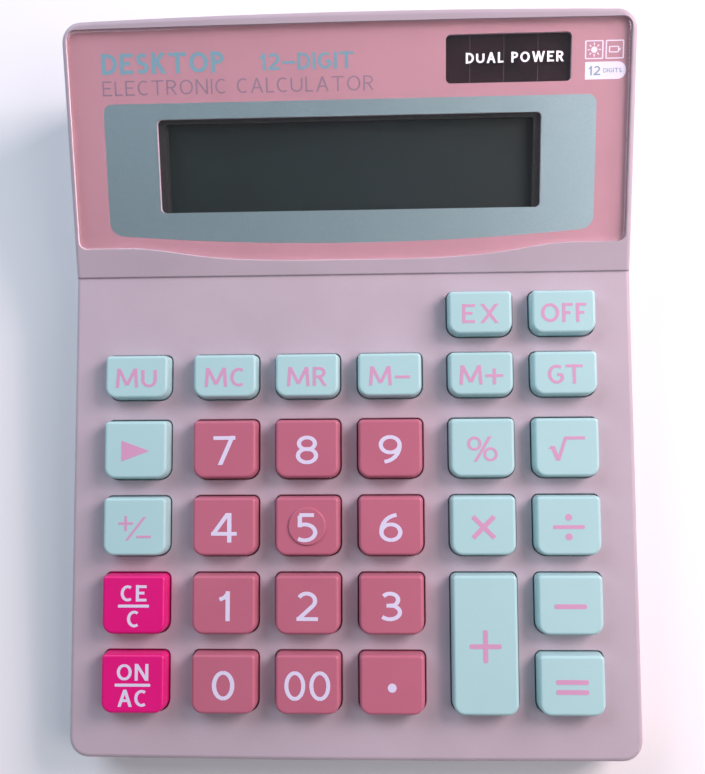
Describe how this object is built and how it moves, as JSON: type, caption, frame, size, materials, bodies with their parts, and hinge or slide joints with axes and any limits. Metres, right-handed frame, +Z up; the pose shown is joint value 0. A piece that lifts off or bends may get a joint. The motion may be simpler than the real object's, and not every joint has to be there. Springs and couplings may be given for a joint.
{
  "type": "desk calculator",
  "caption": "Sloping desk calculator: a tilted head with a clear window, display and solar cell, soft-cornered sprung keys, rubber feet and a hinged battery door below.",
  "frame": {"origin": "under the centre of the calculator, on the table that its feet stand on", "axes": "+X to the user's right, +Y away from the user towards the raised head, +Z up"},
  "size_m": [0.144, 0.1848, 0.0419],
  "materials": {
    "case": "satin lavender-pink ABS",
    "key_aqua": "satin pale aqua ABS",
    "key_rose": "satin rose ABS",
    "key_magenta": "satin hot magenta ABS",
    "window_acrylic": "clear glossy acrylic",
    "window_print": "pink printed layer",
    "bezel_silver": "satin blue-silver",
    "black_plastic": "matt black ABS",
    "polariser_film": "grey-green film",
    "display_glass": "thin clear glass",
    "flex_film": "amber film with carbon tracks",
    "foam_tape": "white foam",
    "solar_glass": "dark amorphous cell on glass",
    "board_resin": "brown paper laminate",
    "screw_steel": "zinc plated",
    "mat_rubber": "pale silicone rubber",
    "carbon_rubber": "conductive rubber",
    "black_resin": "epoxy drop",
    "capacitor_sleeve": "printed sleeve",
    "cell_jacket": "plain printed steel jacket",
    "contact_steel": "nickel-plated spring steel",
    "lead_red": "PVC insulation",
    "lead_black": "PVC insulation",
    "feet_rubber": "dark rubber",
    "legend_pink": "pad-printed legends on the pale keys",
    "legend_pale": "pad-printed legends on the rose and magenta keys",
    "head_lettering": "print behind the window"
  },
  "bodies": {
    "casing": {"top_case": "case", "bottom_case": "case", "window_panel": "window_acrylic", "window_print": "window_print", "bezel_plate": "bezel_silver", "lcd_frame": "black_plastic", "lcd_polarisers": "polariser_film", "lcd_front_glass": "display_glass", "lcd_rear_glass": "display_glass", "lcd_backing": "black_plastic", "lcd_flex": "flex_film", "solar_tape": "foam_tape", "solar_cell": "solar_glass", "main_board": "board_resin", "board_screws": "screw_steel", "key_mat": "mat_rubber", "contact_pills": "carbon_rubber", "chip_blob": "black_resin", "board_capacitor": "capacitor_sleeve", "battery_cell": "cell_jacket", "battery_contact": "contact_steel", "battery_spring": "contact_steel", "battery_lead_red": "lead_red", "battery_lead_black": "lead_black", "solar_lead_red": "lead_red", "solar_lead_black": "lead_black", "case_screws": "screw_steel", "rubber_feet": "feet_rubber"},
    "key_exchange": {"key_exchange": "key_aqua"},
    "key_off": {"key_off": "key_aqua"},
    "key_mark_up": {"key_mark_up": "key_aqua"},
    "key_memory_clear": {"key_memory_clear": "key_aqua"},
    "key_memory_recall": {"key_memory_recall": "key_aqua"},
    "key_memory_minus": {"key_memory_minus": "key_aqua"},
    "key_memory_plus": {"key_memory_plus": "key_aqua"},
    "key_grand_total": {"key_grand_total": "key_aqua"},
    "key_backspace": {"key_backspace": "key_aqua"},
    "key_7": {"key_7": "key_rose"},
    "key_8": {"key_8": "key_rose"},
    "key_9": {"key_9": "key_rose"},
    "key_percent": {"key_percent": "key_aqua"},
    "key_root": {"key_root": "key_aqua"},
    "key_sign": {"key_sign": "key_aqua"},
    "key_4": {"key_4": "key_rose"},
    "key_5": {"key_5": "key_rose"},
    "key_6": {"key_6": "key_rose"},
    "key_multiply": {"key_multiply": "key_aqua"},
    "key_divide": {"key_divide": "key_aqua"},
    "key_clear_entry": {"key_clear_entry": "key_magenta"},
    "key_1": {"key_1": "key_rose"},
    "key_2": {"key_2": "key_rose"},
    "key_3": {"key_3": "key_rose"},
    "key_plus": {"key_plus": "key_aqua"},
    "key_minus": {"key_minus": "key_aqua"},
    "key_on": {"key_on": "key_magenta"},
    "key_0": {"key_0": "key_rose"},
    "key_00": {"key_00": "key_rose"},
    "key_point": {"key_point": "key_rose"},
    "key_equals": {"key_equals": "key_aqua"},
    "battery_door": {"battery_door": "case"}
  },
  "joints": [
    {"name": "battery_door_hinge", "type": "hinge", "parent": "casing", "child": "battery_door", "pos_m": [0, 0.06362, 0.00195], "axis": [1, 0, 0], "range_deg": [-60, 0]},
    {"name": "key_exchange_press", "type": "slide", "parent": "casing", "child": "key_exchange", "axis": [0, -0.0698, 0.9976], "range_m": [-0.0016, 0], "stiffness_N_per_m": 333, "springref_m": 0.0005, "deforming": ["key_mat", "contact_pills"]},
    {"name": "key_off_press", "type": "slide", "parent": "casing", "child": "key_off", "axis": [0, -0.0698, 0.9976], "range_m": [-0.0016, 0], "stiffness_N_per_m": 333, "springref_m": 0.0005, "deforming": ["key_mat", "contact_pills"]},
    {"name": "key_mark_up_press", "type": "slide", "parent": "casing", "child": "key_mark_up", "axis": [0, -0.0698, 0.9976], "range_m": [-0.0016, 0], "stiffness_N_per_m": 333, "springref_m": 0.0005, "deforming": ["key_mat", "contact_pills"]},
    {"name": "key_memory_clear_press", "type": "slide", "parent": "casing", "child": "key_memory_clear", "axis": [0, -0.0698, 0.9976], "range_m": [-0.0016, 0], "stiffness_N_per_m": 333, "springref_m": 0.0005, "deforming": ["key_mat", "contact_pills"]},
    {"name": "key_memory_recall_press", "type": "slide", "parent": "casing", "child": "key_memory_recall", "axis": [0, -0.0698, 0.9976], "range_m": [-0.0016, 0], "stiffness_N_per_m": 333, "springref_m": 0.0005, "deforming": ["key_mat", "contact_pills"]},
    {"name": "key_memory_minus_press", "type": "slide", "parent": "casing", "child": "key_memory_minus", "axis": [0, -0.0698, 0.9976], "range_m": [-0.0016, 0], "stiffness_N_per_m": 333, "springref_m": 0.0005, "deforming": ["key_mat", "contact_pills"]},
    {"name": "key_memory_plus_press", "type": "slide", "parent": "casing", "child": "key_memory_plus", "axis": [0, -0.0698, 0.9976], "range_m": [-0.0016, 0], "stiffness_N_per_m": 333, "springref_m": 0.0005, "deforming": ["key_mat", "contact_pills"]},
    {"name": "key_grand_total_press", "type": "slide", "parent": "casing", "child": "key_grand_total", "axis": [0, -0.0698, 0.9976], "range_m": [-0.0016, 0], "stiffness_N_per_m": 333, "springref_m": 0.0005, "deforming": ["key_mat", "contact_pills"]},
    {"name": "key_backspace_press", "type": "slide", "parent": "casing", "child": "key_backspace", "axis": [0, -0.0698, 0.9976], "range_m": [-0.0016, 0], "stiffness_N_per_m": 333, "springref_m": 0.0005, "deforming": ["key_mat", "contact_pills"]},
    {"name": "key_7_press", "type": "slide", "parent": "casing", "child": "key_7", "axis": [0, -0.0698, 0.9976], "range_m": [-0.0016, 0], "stiffness_N_per_m": 333, "springref_m": 0.0005, "deforming": ["key_mat", "contact_pills"]},
    {"name": "key_8_press", "type": "slide", "parent": "casing", "child": "key_8", "axis": [0, -0.0698, 0.9976], "range_m": [-0.0016, 0], "stiffness_N_per_m": 333, "springref_m": 0.0005, "deforming": ["key_mat", "contact_pills"]},
    {"name": "key_9_press", "type": "slide", "parent": "casing", "child": "key_9", "axis": [0, -0.0698, 0.9976], "range_m": [-0.0016, 0], "stiffness_N_per_m": 333, "springref_m": 0.0005, "deforming": ["key_mat", "contact_pills"]},
    {"name": "key_percent_press", "type": "slide", "parent": "casing", "child": "key_percent", "axis": [0, -0.0698, 0.9976], "range_m": [-0.0016, 0], "stiffness_N_per_m": 333, "springref_m": 0.0005, "deforming": ["key_mat", "contact_pills"]},
    {"name": "key_root_press", "type": "slide", "parent": "casing", "child": "key_root", "axis": [0, -0.0698, 0.9976], "range_m": [-0.0016, 0], "stiffness_N_per_m": 333, "springref_m": 0.0005, "deforming": ["key_mat", "contact_pills"]},
    {"name": "key_sign_press", "type": "slide", "parent": "casing", "child": "key_sign", "axis": [0, -0.0698, 0.9976], "range_m": [-0.0016, 0], "stiffness_N_per_m": 333, "springref_m": 0.0005, "deforming": ["key_mat", "contact_pills"]},
    {"name": "key_4_press", "type": "slide", "parent": "casing", "child": "key_4", "axis": [0, -0.0698, 0.9976], "range_m": [-0.0016, 0], "stiffness_N_per_m": 333, "springref_m": 0.0005, "deforming": ["key_mat", "contact_pills"]},
    {"name": "key_5_press", "type": "slide", "parent": "casing", "child": "key_5", "axis": [0, -0.0698, 0.9976], "range_m": [-0.0016, 0], "stiffness_N_per_m": 333, "springref_m": 0.0005, "deforming": ["key_mat", "contact_pills"]},
    {"name": "key_6_press", "type": "slide", "parent": "casing", "child": "key_6", "axis": [0, -0.0698, 0.9976], "range_m": [-0.0016, 0], "stiffness_N_per_m": 333, "springref_m": 0.0005, "deforming": ["key_mat", "contact_pills"]},
    {"name": "key_multiply_press", "type": "slide", "parent": "casing", "child": "key_multiply", "axis": [0, -0.0698, 0.9976], "range_m": [-0.0016, 0], "stiffness_N_per_m": 333, "springref_m": 0.0005, "deforming": ["key_mat", "contact_pills"]},
    {"name": "key_divide_press", "type": "slide", "parent": "casing", "child": "key_divide", "axis": [0, -0.0698, 0.9976], "range_m": [-0.0016, 0], "stiffness_N_per_m": 333, "springref_m": 0.0005, "deforming": ["key_mat", "contact_pills"]},
    {"name": "key_clear_entry_press", "type": "slide", "parent": "casing", "child": "key_clear_entry", "axis": [0, -0.0698, 0.9976], "range_m": [-0.0016, 0], "stiffness_N_per_m": 333, "springref_m": 0.0005, "deforming": ["key_mat", "contact_pills"]},
    {"name": "key_1_press", "type": "slide", "parent": "casing", "child": "key_1", "axis": [0, -0.0698, 0.9976], "range_m": [-0.0016, 0], "stiffness_N_per_m": 333, "springref_m": 0.0005, "deforming": ["key_mat", "contact_pills"]},
    {"name": "key_2_press", "type": "slide", "parent": "casing", "child": "key_2", "axis": [0, -0.0698, 0.9976], "range_m": [-0.0016, 0], "stiffness_N_per_m": 333, "springref_m": 0.0005, "deforming": ["key_mat", "contact_pills"]},
    {"name": "key_3_press", "type": "slide", "parent": "casing", "child": "key_3", "axis": [0, -0.0698, 0.9976], "range_m": [-0.0016, 0], "stiffness_N_per_m": 333, "springref_m": 0.0005, "deforming": ["key_mat", "contact_pills"]},
    {"name": "key_plus_press", "type": "slide", "parent": "casing", "child": "key_plus", "axis": [0, -0.0698, 0.9976], "range_m": [-0.0016, 0], "stiffness_N_per_m": 333, "springref_m": 0.0005, "deforming": ["key_mat", "contact_pills"]},
    {"name": "key_minus_press", "type": "slide", "parent": "casing", "child": "key_minus", "axis": [0, -0.0698, 0.9976], "range_m": [-0.0016, 0], "stiffness_N_per_m": 333, "springref_m": 0.0005, "deforming": ["key_mat", "contact_pills"]},
    {"name": "key_on_press", "type": "slide", "parent": "casing", "child": "key_on", "axis": [0, -0.0698, 0.9976], "range_m": [-0.0016, 0], "stiffness_N_per_m": 333, "springref_m": 0.0005, "deforming": ["key_mat", "contact_pills"]},
    {"name": "key_0_press", "type": "slide", "parent": "casing", "child": "key_0", "axis": [0, -0.0698, 0.9976], "range_m": [-0.0016, 0], "stiffness_N_per_m": 333, "springref_m": 0.0005, "deforming": ["key_mat", "contact_pills"]},
    {"name": "key_00_press", "type": "slide", "parent": "casing", "child": "key_00", "axis": [0, -0.0698, 0.9976], "range_m": [-0.0016, 0], "stiffness_N_per_m": 333, "springref_m": 0.0005, "deforming": ["key_mat", "contact_pills"]},
    {"name": "key_point_press", "type": "slide", "parent": "casing", "child": "key_point", "axis": [0, -0.0698, 0.9976], "range_m": [-0.0016, 0], "stiffness_N_per_m": 333, "springref_m": 0.0005, "deforming": ["key_mat", "contact_pills"]},
    {"name": "key_equals_press", "type": "slide", "parent": "casing", "child": "key_equals", "axis": [0, -0.0698, 0.9976], "range_m": [-0.0016, 0], "stiffness_N_per_m": 333, "springref_m": 0.0005, "deforming": ["key_mat", "contact_pills"]}
  ]
}
